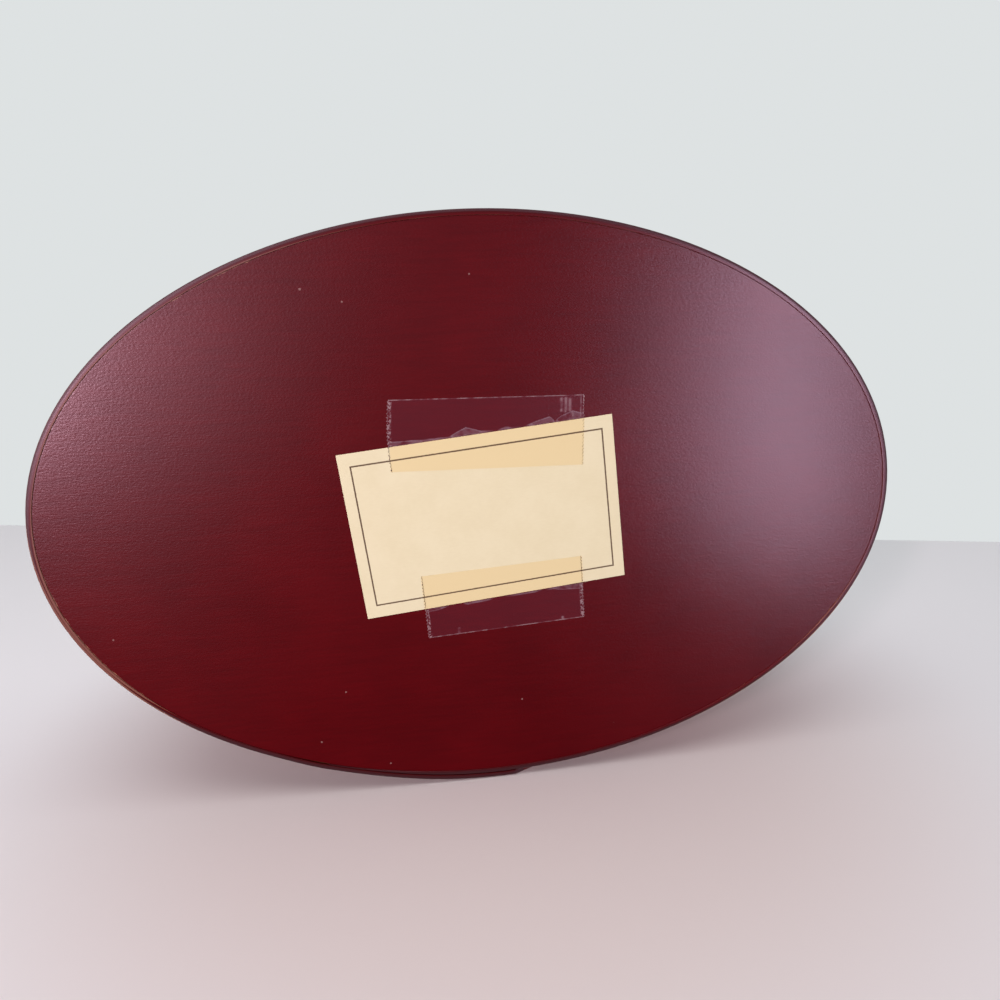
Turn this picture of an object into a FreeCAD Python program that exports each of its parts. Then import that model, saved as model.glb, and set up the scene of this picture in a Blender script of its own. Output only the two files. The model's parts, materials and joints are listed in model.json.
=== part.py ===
import FreeCAD, Part
import math
import os

# An oval lidded box of bent wood bands round solid boards, in millimetres.
# +Z is up and the lid is on top. The origin is at floor level, in the middle of the whole outline.
# The bands lap over themselves at the front (-Y), and their fingers point to -X.

# Body of the box
OVAL_LENGTH = 234.0  # outside the side band, lap left out
OVAL_WIDTH = 160.0
SIDE_HEIGHT = 90.0
BAND_THICKNESS = 1.5
BOTTOM_THICKNESS = 6.5
BOTTOM_RECESS = 0.5  # the bottom board lies this far above the band's lower edge
BOARD_GAP = 0.12  # joint line between a board and the band round it

# Lid
LID_DEPTH = 27.0
LID_BOARD_THICKNESS = 6.5
LID_CLEARANCE = 0.45  # between the side band and the lid band

# Lap of each band over itself, as places along X on the front
LEAD_X = 64.0  # the outer layer begins to lift off the oval
FEATHER_X = 49.0  # thin end of the inner layer
FULL_X = 5.0  # the inner layer has its full thickness from here
ROOT_X = -6.0  # roots of the notches between the fingers
TIP_X = -46.0  # finger tips
EASE_LENGTH = 32.0  # the lid band comes back to the oval over this length past the tips
FEATHER_THICKNESS = 0.3
LAP_GAP = 0.15

# Fingers
SIDE_FINGERS = 4
LID_FINGERS = 1
FINGER_TIP_WIDTH = 5.6
FINGER_TIP_RADIUS = 1.4
NOTCH_BOW = 1.7  # how far each side of a notch bows out of a straight line

# Copper tacks through the fingers, clinched flush on the inside
TACK_TIP_INSET = 8.0
TACK_ROOT_INSET = 9.0
TACK_HEAD_RADIUS = 2.1
TACK_HEAD_SINK = 0.3
TACK_CROWN = 0.15
TACK_SHANK_RADIUS = 0.7
CLINCH_LENGTH = 2.6
CLINCH_WIDTH = 1.3
CLINCH_THICKNESS = 0.4
TACK_GAP = 0.1

# Wooden pegs through the bands into the edges of the boards
PEG_COUNT = 10
PEG_RADIUS = 1.0
PEG_DEPTH = 9.0  # into the board
PEG_SINK = 0.1  # below the band's outer face
PEG_GAP = 0.1
PEG_LAP_MARGIN = 6.0  # degrees between the finger zone and the nearest pegs

# Card and tape under the bottom board, as seen in plan from above the box
CARD_LENGTH = 73.5
CARD_WIDTH = 47.0
CARD_THICKNESS = 0.3
CARD_CENTRE = (0.2, 1.4)
CARD_TURN = -5.8
TAPE_WIDTH = 19.0
TAPE_THICKNESS = 0.12
TAPE_TOOTH_PITCH = 1.0
TAPE_TOOTH_DEPTH = 0.45
UPPER_TAPE_LENGTH = 51.6
UPPER_TAPE_CENTRE = (-0.6, 24.9)
UPPER_TAPE_TURN = 0.9
LOWER_TAPE_LENGTH = 45.4
LOWER_TAPE_CENTRE = (-4.0, -22.3)
LOWER_TAPE_TURN = -3.4

# Worked out from the sizes above
CURVE_STEP = 2.5  # degrees between the points of a curve
HALF_LENGTH = OVAL_LENGTH / 2 - BAND_THICKNESS
HALF_WIDTH = OVAL_WIDTH / 2 - BAND_THICKNESS
CENTRE_Y = BAND_THICKNESS + LAP_GAP  # half of what the two laps add at the front
LID_TOP = SIDE_HEIGHT + LID_BOARD_THICKNESS
LID_EDGE = LID_TOP - LID_DEPTH
FACE_MARGIN = 3.0  # by which a cutting shape passes the face that it cuts


def smooth_step(value, start, end):
    """Rises smoothly from 0 at start to 1 at end."""
    share = min(max((value - start) / (end - start), 0.0), 1.0)
    return share * share * (3.0 - 2.0 * share)


def angle_at(x):
    """The oval's angle, in degrees, at a place along X on the front."""
    return -math.degrees(math.acos(x / HALF_LENGTH))


def x_at(angle):
    return HALF_LENGTH * math.cos(math.radians(angle))


def on_front(angle):
    return math.sin(math.radians(angle)) < 0


def outward(angle):
    """Unit vector square to the oval at this angle."""
    across = HALF_WIDTH * math.cos(math.radians(angle))
    along = HALF_LENGTH * math.sin(math.radians(angle))
    return FreeCAD.Vector(across, along, 0).normalize()


def oval_point(angle, offset, z=0.0):
    """Point at this distance outside the bottom board's oval."""
    x = HALF_LENGTH * math.cos(math.radians(angle))
    y = HALF_WIDTH * math.sin(math.radians(angle)) + CENTRE_Y
    return FreeCAD.Vector(x, y, z) + outward(angle) * offset


def inner_layer_thickness(x):
    growth = smooth_step(x, FEATHER_X, FULL_X)
    return FEATHER_THICKNESS + (BAND_THICKNESS - FEATHER_THICKNESS) * growth


def lap_lift(x):
    """How far the outer layer stands off the oval over the inner one."""
    over_end = (FEATHER_THICKNESS + LAP_GAP) * smooth_step(x, LEAD_X, FEATHER_X)
    over_taper = (BAND_THICKNESS - FEATHER_THICKNESS) * smooth_step(x, FEATHER_X, FULL_X)
    return over_end + over_taper


def side_base(angle):
    """The side band's inner face lies on the bottom board's oval."""
    return 0.0


def lid_base(angle):
    """The lid band's inner face follows the side band's outside, lap included."""
    offset = BAND_THICKNESS + LID_CLEARANCE
    if on_front(angle):
        x = x_at(angle)
        offset += lap_lift(x) * (1.0 - smooth_step(x, TIP_X, TIP_X - EASE_LENGTH))
    return offset


def outer_face(base, angle):
    """Offset of a band's outside, away from the zone of the notches."""
    lift = lap_lift(x_at(angle)) if on_front(angle) else 0.0
    return base(angle) + lift + BAND_THICKNESS


def spaced(start, end):
    count = math.ceil(abs(end - start) / CURVE_STEP)
    return [start + (end - start) * i / count for i in range(count + 1)]


def curve_through(points, closed=False):
    curve = Part.BSplineCurve()
    curve.interpolate(Points=points, PeriodicFlag=closed)
    return curve.toShape()


def region_between(inner_points, outer_points, bottom, height):
    """Solid between two open curves, its ends closed by straight lines."""
    edges = [
        curve_through(inner_points),
        Part.makeLine(inner_points[-1], outer_points[-1]),
        curve_through(outer_points),
        Part.makeLine(inner_points[0], outer_points[0]),
    ]
    face = Part.Face(Part.Wire(Part.sortEdges(edges)[0]))
    face.translate(FreeCAD.Vector(0, 0, bottom))
    return face.extrude(FreeCAD.Vector(0, 0, height))


def bent_strip(base, bottom, height):
    """One strip, from its thin inner end once round and on over itself to the finger tips."""
    first = angle_at(FEATHER_X)
    last = angle_at(TIP_X - FACE_MARGIN) - 360.0
    inner_points = []
    outer_points = []
    for angle in spaced(first, last):
        second_pass = first - angle > 180.0
        front = on_front(angle)
        lift = lap_lift(x_at(angle)) if front and second_pass else 0.0
        thickness = BAND_THICKNESS
        if front and not second_pass:
            thickness = inner_layer_thickness(x_at(angle))
        inner_points.append(oval_point(angle, base(angle) + lift))
        outer_points.append(oval_point(angle, base(angle) + lift + thickness))
    return region_between(inner_points, outer_points, bottom, height)


def finger_layer(base, bottom, height):
    """The space of the outer layer alone, from the notches' roots to past the tips."""
    inner_points = []
    outer_points = []
    for angle in spaced(angle_at(ROOT_X + FACE_MARGIN), angle_at(TIP_X - 2 * FACE_MARGIN)):
        face = base(angle) + lap_lift(x_at(angle))
        inner_points.append(oval_point(angle, face - LAP_GAP / 2))
        outer_points.append(oval_point(angle, face + BAND_THICKNESS + FACE_MARGIN))
    return region_between(inner_points, outer_points, bottom, height)


def notch(z, half_pitch):
    """Pointed-arch notch between two fingers, as a bar along Y at the front."""
    rim = half_pitch - FINGER_TIP_WIDTH / 2
    shoulder_x = TIP_X + FINGER_TIP_RADIUS
    far_x = TIP_X - 3 * FACE_MARGIN
    corner = FINGER_TIP_RADIUS * (1.0 - math.sqrt(0.5))
    run = math.hypot(ROOT_X - shoulder_x, rim)

    def at(x, height):
        return FreeCAD.Vector(x, -OVAL_WIDTH, z + height)

    edges = []
    for side in (1, -1):
        middle_x = (ROOT_X + shoulder_x) / 2 + NOTCH_BOW * rim / run
        middle_z = rim / 2 + NOTCH_BOW * (ROOT_X - shoulder_x) / run
        top = rim + FINGER_TIP_RADIUS
        arch = Part.Arc(at(ROOT_X, 0), at(middle_x, side * middle_z), at(shoulder_x, side * rim))
        round_off = Part.Arc(
            at(shoulder_x, side * rim),
            at(TIP_X + corner, side * (rim + corner)),
            at(TIP_X, side * top),
        )
        edges += [arch.toShape(), round_off.toShape()]
        edges.append(Part.makeLine(at(TIP_X, side * top), at(far_x, side * top)))
    edges.append(Part.makeLine(at(far_x, top), at(far_x, -top)))
    face = Part.Face(Part.Wire(Part.sortEdges(edges)[0]))
    return face.extrude(FreeCAD.Vector(0, OVAL_WIDTH, 0))


def cut_fingers(strip, base, bottom, height, count):
    """Leaves this many tapering fingers at the end of the outer layer."""
    layer = finger_layer(base, bottom - FACE_MARGIN, height + 2 * FACE_MARGIN)
    half_pitch = height / count / 2
    past_tips = Part.makeBox(
        2 * FACE_MARGIN,
        OVAL_WIDTH,
        height + 2 * FACE_MARGIN,
        FreeCAD.Vector(TIP_X - 2 * FACE_MARGIN, -OVAL_WIDTH, bottom - FACE_MARGIN),
    )
    cutters = [layer.common(past_tips)]
    for i in range(count + 1):
        cutters.append(layer.common(notch(bottom + 2 * half_pitch * i, half_pitch)))
    return strip.cut(cutters)


def stand_at(shape, base, angle, z):
    """Moves a shape made along +X to a band's outer face."""
    direction = outward(angle)
    turn = math.degrees(math.atan2(direction.y, direction.x))
    placed = shape.copy()
    placed.rotate(FreeCAD.Vector(0, 0, 0), FreeCAD.Vector(0, 0, 1), turn)
    placed.translate(oval_point(angle, outer_face(base, angle), z))
    return placed


def clinch(gap, past_face):
    """Flattened point of a tack, bent down along the band's inside."""
    through = 2 * BAND_THICKNESS + LAP_GAP
    return Part.makeBox(
        CLINCH_THICKNESS + gap + past_face,
        CLINCH_WIDTH + 2 * gap,
        CLINCH_LENGTH + gap,
        FreeCAD.Vector(-through - past_face, -CLINCH_WIDTH / 2 - gap, -CLINCH_LENGTH - gap),
    )


def shank(radius, start, end):
    return Part.makeCylinder(radius, end - start, FreeCAD.Vector(start, 0, 0), FreeCAD.Vector(1, 0, 0))


def tack():
    """Domed head, shank and clinched point, along X, with the head on the face at x = 0."""
    through = 2 * BAND_THICKNESS + LAP_GAP
    dome_radius = (TACK_HEAD_RADIUS**2 + TACK_CROWN**2) / (2 * TACK_CROWN)
    dome = Part.makeSphere(dome_radius, FreeCAD.Vector(TACK_CROWN - dome_radius, 0, 0))
    head = shank(TACK_HEAD_RADIUS, -TACK_HEAD_SINK, FACE_MARGIN).common(dome)
    return head.fuse([shank(TACK_SHANK_RADIUS, -through, -TACK_HEAD_SINK), clinch(0.0, 0.0)])


def tack_hole():
    """Pocket for the head, hole for the shank and pocket for the clinched point."""
    through = 2 * BAND_THICKNESS + LAP_GAP
    return [
        shank(TACK_HEAD_RADIUS + TACK_GAP, -TACK_HEAD_SINK, FACE_MARGIN),
        shank(TACK_SHANK_RADIUS + TACK_GAP, -through - FACE_MARGIN, FACE_MARGIN),
        clinch(TACK_GAP, FACE_MARGIN),
    ]


def tack_places(bottom, height, count):
    """Angle and height of every tack: two along each finger."""
    pitch = height / count
    places = []
    for i in range(count):
        for x in (TIP_X + TACK_TIP_INSET, ROOT_X - TACK_ROOT_INSET):
            places.append((angle_at(x), bottom + pitch * (i + 0.5)))
    return places


def tacks(base, places):
    return Part.Compound([stand_at(tack(), base, angle, z) for angle, z in places])


def peg_angles():
    """Even steps round the oval, from beside the finger tips to beside the notches' roots."""
    start = angle_at(TIP_X) - PEG_LAP_MARGIN
    end = angle_at(ROOT_X) + PEG_LAP_MARGIN - 360.0
    return [start + (end - start) * i / (PEG_COUNT - 1) for i in range(PEG_COUNT)]


def past_fingers(base, angle):
    """Outer face where a peg stands: one layer, or two where the lap is still whole."""
    if on_front(angle) and x_at(angle) < ROOT_X:
        return base(angle) + BAND_THICKNESS
    return outer_face(base, angle)


def bars(base, z, radius, past_start, past_end):
    """Round bars from inside the edge of a board out through the band round it."""
    made = []
    for angle in peg_angles():
        start = base(angle) - BOARD_GAP - PEG_DEPTH - past_start
        length = past_fingers(base, angle) + past_end - start
        made.append(Part.makeCylinder(radius, length, oval_point(angle, start, z), outward(angle)))
    return made


def pegs(base, z):
    return Part.Compound(bars(base, z, PEG_RADIUS, 0.0, -PEG_SINK))


def peg_holes(base, z):
    return bars(base, z, PEG_RADIUS + PEG_GAP, PEG_GAP, FACE_MARGIN)


def board(base, bottom, thickness):
    points = [oval_point(angle, base(angle) - BOARD_GAP) for angle in spaced(0.0, 360.0)[:-1]]
    face = Part.Face(Part.Wire([curve_through(points, closed=True)]))
    face.translate(FreeCAD.Vector(0, 0, bottom))
    return face.extrude(FreeCAD.Vector(0, 0, thickness))


def band(base, bottom, height, fingers, peg_z):
    """Lapped strip with its fingers, tack pockets and peg holes."""
    strip = cut_fingers(bent_strip(base, bottom, height), base, bottom, height, fingers)
    strip = strip.cut(peg_holes(base, peg_z))
    for angle, z in tack_places(bottom, height, fingers):
        for hole in tack_hole():
            strip = strip.cut(stand_at(hole, base, angle, z))
    return strip


def placed_face(points, centre, turn):
    """Flat face under the bottom board from an outline round its own centre."""
    corners = [FreeCAD.Vector(x, y, 0) for x, y in points]
    face = Part.Face(Part.makePolygon(corners + corners[:1]))
    place = FreeCAD.Vector(centre[0], centre[1] + CENTRE_Y, BOTTOM_RECESS)
    face.Placement = FreeCAD.Placement(place, FreeCAD.Rotation(FreeCAD.Vector(0, 0, 1), turn))
    return face


def card(grow=0.0):
    """Thin card under the board, or a larger one for the tape that wraps its edge."""
    x = CARD_LENGTH / 2 + grow
    y = CARD_WIDTH / 2 + grow
    face = placed_face([(-x, -y), (x, -y), (x, y), (-x, y)], CARD_CENTRE, CARD_TURN)
    return face.extrude(FreeCAD.Vector(0, 0, -CARD_THICKNESS - grow))


def tape(length, centre, turn):
    """Clear strip with saw-cut ends, part of it on the board and part on the card."""
    teeth = round(TAPE_WIDTH / TAPE_TOOTH_PITCH)
    pitch = TAPE_WIDTH / teeth
    points = []
    for side in (1, -1):
        for i in range(teeth):
            y = side * (-TAPE_WIDTH / 2 + pitch * i)
            points.append((side * length / 2, y))
            points.append((side * (length / 2 - TAPE_TOOTH_DEPTH), y + side * pitch / 2))
        points.append((side * length / 2, side * TAPE_WIDTH / 2))
    face = placed_face(points, centre, turn)
    on_board = face.extrude(FreeCAD.Vector(0, 0, -TAPE_THICKNESS))
    full_depth = face.extrude(FreeCAD.Vector(0, 0, -TAPE_THICKNESS - CARD_THICKNESS))
    on_card = full_depth.common(card(TAPE_THICKNESS))
    return on_board.fuse(on_card).cut(card()).removeSplitter()


bottom_peg_z = BOTTOM_RECESS + BOTTOM_THICKNESS / 2
lid_peg_z = LID_TOP - LID_BOARD_THICKNESS / 2
bottom_board = board(side_base, BOTTOM_RECESS, BOTTOM_THICKNESS)
lid_board = board(lid_base, SIDE_HEIGHT, LID_BOARD_THICKNESS)

nodes = {
    "bottom_board": bottom_board.cut(peg_holes(side_base, bottom_peg_z)),
    "side_band": band(side_base, 0.0, SIDE_HEIGHT, SIDE_FINGERS, bottom_peg_z),
    "side_tacks": tacks(side_base, tack_places(0.0, SIDE_HEIGHT, SIDE_FINGERS)),
    "bottom_pegs": pegs(side_base, bottom_peg_z),
    "label_card": card(),
    "label_tape_upper": tape(UPPER_TAPE_LENGTH, UPPER_TAPE_CENTRE, UPPER_TAPE_TURN),
    "label_tape_lower": tape(LOWER_TAPE_LENGTH, LOWER_TAPE_CENTRE, LOWER_TAPE_TURN),
    "lid_board": lid_board.cut(peg_holes(lid_base, lid_peg_z)),
    "lid_band": band(lid_base, LID_EDGE, LID_DEPTH, LID_FINGERS, lid_peg_z),
    "lid_tacks": tacks(lid_base, tack_places(LID_EDGE, LID_DEPTH, LID_FINGERS)),
    "lid_pegs": pegs(lid_base, lid_peg_z),
}

os.makedirs("parts", exist_ok=True)
for name, shape in nodes.items():
    shape.exportStep(f"parts/{name}.step")
    box = shape.BoundBox
    print(
        f"{name}: solids {len(shape.Solids)}, valid {shape.isValid()}, volume {shape.Volume:.1f},",
        f"x {box.XMin:.2f} to {box.XMax:.2f}, y {box.YMin:.2f} to {box.YMax:.2f},",
        f"z {box.ZMin:.2f} to {box.ZMax:.2f}",
    )
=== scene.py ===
"""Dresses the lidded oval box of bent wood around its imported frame.

Everything is in metres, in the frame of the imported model: +Z is up with the lid on top,
+X runs along the oval, and the bands lap at the front, -Y.
"""
import json
import logging
import math
from collections.abc import Callable, Sequence
from dataclasses import dataclass, field
from enum import Enum

import bpy
import numpy as np
from mathutils import Matrix, Vector

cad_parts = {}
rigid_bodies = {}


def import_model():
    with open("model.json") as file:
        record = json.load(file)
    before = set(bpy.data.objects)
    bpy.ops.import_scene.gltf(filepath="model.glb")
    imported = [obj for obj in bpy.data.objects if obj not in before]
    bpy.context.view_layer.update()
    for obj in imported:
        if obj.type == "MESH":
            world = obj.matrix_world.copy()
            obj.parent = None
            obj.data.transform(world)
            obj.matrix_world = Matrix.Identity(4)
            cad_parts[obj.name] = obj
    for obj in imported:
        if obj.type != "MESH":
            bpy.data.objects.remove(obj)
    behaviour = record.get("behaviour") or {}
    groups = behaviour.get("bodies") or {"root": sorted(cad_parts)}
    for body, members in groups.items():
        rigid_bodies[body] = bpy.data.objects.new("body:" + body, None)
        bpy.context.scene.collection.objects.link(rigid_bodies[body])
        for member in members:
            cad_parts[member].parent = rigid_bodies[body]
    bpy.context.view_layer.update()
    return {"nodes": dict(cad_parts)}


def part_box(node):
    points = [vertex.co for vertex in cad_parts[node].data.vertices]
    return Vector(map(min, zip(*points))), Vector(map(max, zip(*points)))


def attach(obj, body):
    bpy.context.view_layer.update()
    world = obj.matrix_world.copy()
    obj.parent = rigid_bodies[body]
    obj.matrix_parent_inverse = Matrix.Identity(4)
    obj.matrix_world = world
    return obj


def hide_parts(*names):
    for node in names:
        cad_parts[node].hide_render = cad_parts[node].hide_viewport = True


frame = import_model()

MM = 0.001
TOUCH = 1e-6  # places nearer than this, in metres, count as one
Colour = tuple[float, float, float, float]
Outline = list[tuple[float, float]]
Socket = bpy.types.NodeSocket
log = logging.getLogger("oval_box")


class Body(Enum):
    """The two bodies that the pieces ride on."""

    BOX = "box"
    LID = "lid"


class Slot(Enum):
    """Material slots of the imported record."""

    BOARD = "painted_board"
    BAND = "painted_band"
    COPPER = "copper"
    CARD = "card"
    TAPE = "clear_tape"


class Grain(Enum):
    """Where the wood grain takes its coordinates from."""

    ALONG_BOARD = "object"
    ALONG_STRIP = "uv"


def smooth_step(value: float, start: float, end: float) -> float:
    """Rise smoothly from 0 at start to 1 at end.

    Args:
        value: Where on the way from start to end.
        start: Value at which the result is 0.
        end: Value at which the result is 1, above or below start.

    Returns:
        A number from 0 to 1.
    """
    share = min(max((value - start) / (end - start), 0.0), 1.0)
    return share * share * (3.0 - 2.0 * share)


def in_metres(rows: Sequence[tuple[float, ...]]) -> list[tuple[float, ...]]:
    """Turn rows of millimetres into rows of metres."""
    return [tuple(value * MM for value in row) for row in rows]


# ---------------------------------------------------------------- bench work with bpy.ops


def clear_choice() -> None:
    """Deselect every object."""
    for other in bpy.context.view_layer.objects:
        other.select_set(False)


def take_up(name: str) -> bpy.types.Object:
    """Name the primitive that was just added, and its mesh.

    Args:
        name: Name of the piece.

    Returns:
        The piece.
    """
    piece = bpy.context.object
    piece.name = name
    piece.data.name = name
    return piece


def work_on(piece: bpy.types.Object) -> None:
    """Make a piece the only selected and active object."""
    clear_choice()
    piece.select_set(True)
    bpy.context.view_layer.objects.active = piece


def pick(
    piece: bpy.types.Object,
    faces: Callable[[bpy.types.MeshPolygon], bool] | None = None,
    edges: Callable[[Vector, Vector], bool] | None = None,
) -> None:
    """Enter edit mode with the faces or the edges that a rule names.

    Args:
        piece: The mesh piece to work on.
        faces: Rule for a face.
        edges: Rule for an edge, from its two ends.
    """
    if bpy.context.mode != "OBJECT":
        bpy.ops.object.mode_set(mode="OBJECT")
    work_on(piece)
    mesh = piece.data
    bpy.context.tool_settings.mesh_select_mode = (False, faces is None, faces is not None)
    for part in (mesh.vertices, mesh.edges, mesh.polygons):
        part.foreach_set("select", np.zeros(len(part), dtype=bool))
    if faces is not None:
        mesh.polygons.foreach_set("select", [faces(polygon) for polygon in mesh.polygons])
    if edges is not None:
        spots = [vertex.co for vertex in mesh.vertices]
        mesh.edges.foreach_set(
            "select", [edges(spots[e.vertices[0]], spots[e.vertices[1]]) for e in mesh.edges]
        )
    bpy.ops.object.mode_set(mode="EDIT")


def put_down() -> None:
    """Leave edit mode with every normal facing out."""
    bpy.ops.mesh.select_all(action="SELECT")
    bpy.ops.mesh.normals_make_consistent(inside=False)
    bpy.ops.object.mode_set(mode="OBJECT")


def spots_of(piece: bpy.types.Object) -> np.ndarray:
    """Return a piece's vertices as rows of x, y and z."""
    spots = np.empty(len(piece.data.vertices) * 3)
    piece.data.vertices.foreach_get("co", spots)
    return spots.reshape(-1, 3)


def move_spots(piece: bpy.types.Object, spots: np.ndarray) -> None:
    """Place a piece's vertices."""
    piece.data.vertices.foreach_set("co", spots.ravel())
    piece.data.update()


def note(piece: bpy.types.Object, name: str, values: np.ndarray) -> None:
    """Store one number for each vertex, for the finish to read.

    Args:
        piece: The mesh piece.
        name: Name of the attribute.
        values: One number for each vertex.
    """
    attribute = piece.data.attributes.new(name, "FLOAT", "POINT")
    attribute.data.foreach_set("value", values.astype(np.float32))


def lay_grain(piece: bpy.types.Object, along: np.ndarray, across: np.ndarray) -> None:
    """Store the flat pattern's coordinates, in metres, as the piece's UV map.

    Args:
        piece: The mesh piece.
        along: Place of each vertex along the grain.
        across: Place of each vertex across it.
    """
    layer = piece.data.uv_layers.new(name="flat_pattern")
    corners = np.empty(len(piece.data.loops), dtype=np.int64)
    piece.data.loops.foreach_get("vertex_index", corners)
    layer.data.foreach_set("uv", np.column_stack((along, across))[corners].ravel())


def smooth(piece: bpy.types.Object, degrees: float) -> None:
    """Shade a piece smooth, flat faces kept flat, apart from edges sharper than this angle."""
    work_on(piece)
    bpy.ops.object.shade_smooth_by_angle(angle=math.radians(degrees))
    flat = piece.modifiers.new("flat_faces", "WEIGHTED_NORMAL")
    flat.keep_sharp = True
    bpy.ops.object.modifier_apply(modifier=flat.name)


def distance_to(outline: np.ndarray, spots: np.ndarray) -> np.ndarray:
    """Measure how far points lie from a closed flat outline.

    Args:
        outline: The outline's corners, as rows of two numbers.
        spots: The points, as rows of two numbers.

    Returns:
        One distance for each point.
    """
    nearest = np.full(len(spots), np.inf)
    for start, end in zip(outline, np.roll(outline, -1, axis=0)):
        run = end - start
        length = float(run @ run)
        if length < 1e-18:
            continue
        share = np.clip((spots - start) @ run / length, 0.0, 1.0)
        gap = np.hypot(*(spots - start - share[:, None] * run).T)
        nearest = np.minimum(nearest, gap)
    return nearest


# ---------------------------------------------------------------- the oval and its bands


@dataclass
class OvalShape:
    """The oval that the boards and the bands follow, with the lap's steps at the front."""

    half_length: float
    half_width: float
    centre_y: float
    thickness: float = 1.5 * MM
    clearance: float = 0.45 * MM
    board_gap: float = 0.12 * MM
    lead_x: float = 64.0 * MM
    feather_x: float = 49.0 * MM
    full_x: float = 5.0 * MM
    root_x: float = -6.0 * MM
    tip_x: float = -46.0 * MM
    ease_length: float = 32.0 * MM
    feather: float = 0.3 * MM
    lap_gap: float = 0.15 * MM

    @classmethod
    def from_frame(cls) -> "OvalShape":
        """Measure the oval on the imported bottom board."""
        low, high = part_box("bottom_board")
        gap = cls.board_gap
        return cls(
            half_length=(high.x - low.x) / 2 + gap,
            half_width=(high.y - low.y) / 2 + gap,
            centre_y=(high.y + low.y) / 2,
        )

    def angle_at(self, x: float) -> float:
        """Return the oval's angle, in radians, at a place along X on the front."""
        return -math.acos(x / self.half_length)

    def spot(self, angle: float, offset: float) -> tuple[float, float]:
        """Return the place at a distance outside the oval, square to it.

        Args:
            angle: Angle of the oval, in radians.
            offset: Distance outside it.

        Returns:
            X and Y.
        """
        cos, sin = math.cos(angle), math.sin(angle)
        across, along = self.half_width * cos, self.half_length * sin
        size = math.hypot(across, along)
        x = self.half_length * cos + offset * across / size
        y = self.half_width * sin + offset * along / size + self.centre_y
        return x, y

    def lap_lift(self, x: float) -> float:
        """Return how far the outer layer stands off the oval at a place along X."""
        over_end = (self.feather + self.lap_gap) * smooth_step(x, self.lead_x, self.feather_x)
        taper = smooth_step(x, self.feather_x, self.full_x)
        return over_end + (self.thickness - self.feather) * taper

    def side_base(self, angle: float) -> float:
        """Return the side band's inner face, which lies on the oval."""
        return 0.0

    def lid_base(self, angle: float) -> float:
        """Return the lid band's inner face, which follows the side band's outside."""
        offset = self.thickness + self.clearance
        if math.sin(angle) < 0:
            x = self.half_length * math.cos(angle)
            fade = 1.0 - smooth_step(x, self.tip_x, self.tip_x - self.ease_length)
            offset += self.lap_lift(x) * fade
        return offset


@dataclass
class OvalBoard:
    """Solid oval board with softened rims.

    The handled table gives the wear along the rim, in mm, by degrees round the oval. A face
    with more corners than face_corners is the top or the underside.
    """

    name: str
    node: str
    body: Body
    oval: OvalShape
    base: Callable[[float], float]
    inside_up: bool
    paint_build: float = 0.0
    handled: Sequence[tuple[float, float]] = ((-180, 0.45), (180, 0.45))
    corners: int = 300
    rim_round: float = 0.05 * MM
    paint_in_joint: float = 0.1 * MM
    rings: Sequence[float] = (0.5 * MM, 0.9 * MM, 1.6 * MM, 3.0 * MM, 6.0 * MM)
    face_corners: int = 100
    rim_reach: float = 9.0 * MM

    def outline(self) -> np.ndarray:
        """Return the board's outline as rows of x and y."""
        steps = [2 * math.pi * i / self.corners for i in range(self.corners)]
        gap = self.oval.board_gap - self.paint_in_joint
        return np.array([self.oval.spot(a, self.base(a) - gap) for a in steps])

    def build(self, finish: bpy.types.Material) -> bpy.types.Object:
        """Cut the board, round its rims and note how near each point is to the rim.

        Args:
            finish: The painted finish.

        Returns:
            The board.
        """
        low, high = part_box(self.node)
        low.z -= self.paint_build
        outline = self.outline()
        clear_choice()
        bpy.ops.mesh.primitive_circle_add(vertices=self.corners, fill_type="NGON")
        board = take_up(self.name)
        move_spots(board, np.column_stack((outline, np.full(self.corners, low.z))))
        pick(board, faces=lambda face: True)
        rise = {"value": (0, 0, high.z - low.z)}
        bpy.ops.mesh.extrude_region_move(TRANSFORM_OT_translate=rise)
        pick(board, edges=lambda a, b: abs(a.z - b.z) < TOUCH)
        bpy.ops.mesh.bevel(
            offset=self.rim_round, segments=3, profile=0.5, affect="EDGES", clamp_overlap=False
        )
        for ring in self.rings:
            pick(board, faces=lambda face: len(face.vertices) > self.face_corners)
            bpy.ops.mesh.inset(thickness=ring, use_individual=True)
        put_down()
        spots = spots_of(board)
        gap = distance_to(outline, spots[:, :2])
        note(board, "rim", 1.0 - np.clip(gap / self.rim_reach, 0.0, 1.0))
        height = (spots[:, 2] - low.z) / (high.z - low.z)
        inside = height if self.inside_up else 1.0 - height
        note(board, "inside", (inside > 0.99).astype(float))
        across = (spots[:, 1] - self.oval.centre_y) / self.oval.half_width
        turn = np.degrees(np.arctan2(across, spots[:, 0] / self.oval.half_length))
        note(board, "handled", np.interp(turn, *np.array(self.handled).T))
        smooth(board, 35.0)
        board.data.materials.append(finish)
        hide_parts(self.node)
        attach(board, self.body.value)
        return board


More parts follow.
